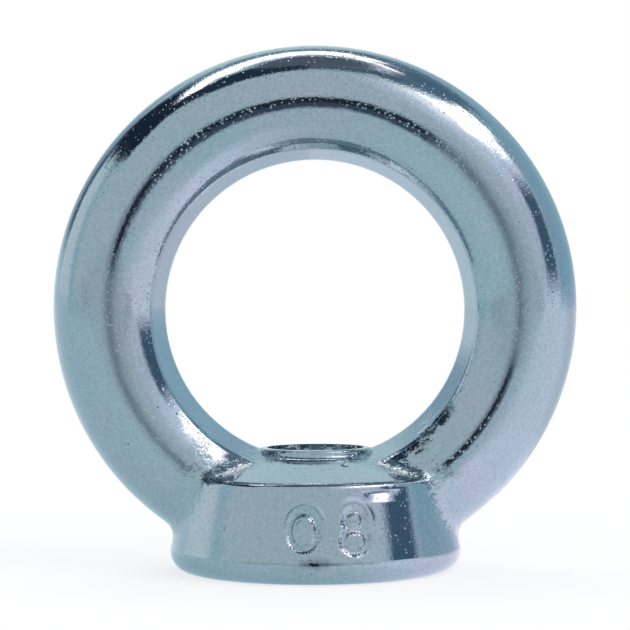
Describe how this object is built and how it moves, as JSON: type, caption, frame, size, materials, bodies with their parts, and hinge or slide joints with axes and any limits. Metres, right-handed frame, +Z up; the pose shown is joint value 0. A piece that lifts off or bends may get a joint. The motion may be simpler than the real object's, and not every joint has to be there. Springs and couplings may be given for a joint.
{
  "type": "lifting eye nut",
  "caption": "Forged lifting eye nut: a round ring standing on a tapered round base with a tapped hole through it.",
  "frame": {"origin": "centre of the flat seat, where the thread's axis meets it", "axes": "+Z up the thread's axis through the middle of the eye, Y through the eye, X across the ring"},
  "size_m": [0.036, 0.02, 0.036],
  "materials": {
    "zinc_steel": "bright zinc plating with a blue tint over drop-forged steel"
  },
  "bodies": {
    "root": {"eye_nut": "zinc_steel"}
  },
  "joints": []
}
